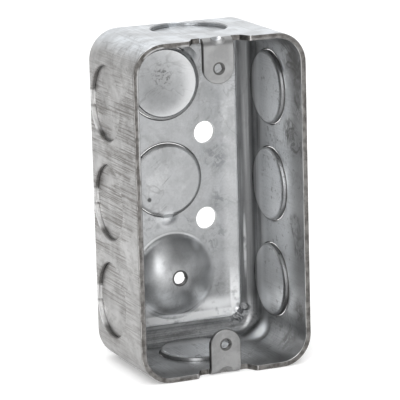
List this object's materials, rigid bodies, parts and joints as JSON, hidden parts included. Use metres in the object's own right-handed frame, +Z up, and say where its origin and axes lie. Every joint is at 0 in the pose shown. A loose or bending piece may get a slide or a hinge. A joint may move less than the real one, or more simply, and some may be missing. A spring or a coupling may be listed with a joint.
{
  "type": "handy box",
  "caption": "Narrow deep-drawn sheet steel wiring box, open at the front, with pushed-in knockouts, a raised ground dome and tapped screw ears.",
  "frame": {"origin": "middle of the bottom end, on the surface that the box stands on", "axes": "+Z up along the box's length, +Y from the open mouth to the back, +X to the right seen from the mouth"},
  "size_m": [0.055, 0.0382, 0.1016],
  "materials": {
    "zinc_coated_steel": "bright zinc coating, slightly mottled, with fine drawing scratches"
  },
  "bodies": {
    "root": {"handy_box": "zinc_coated_steel"}
  },
  "joints": []
}
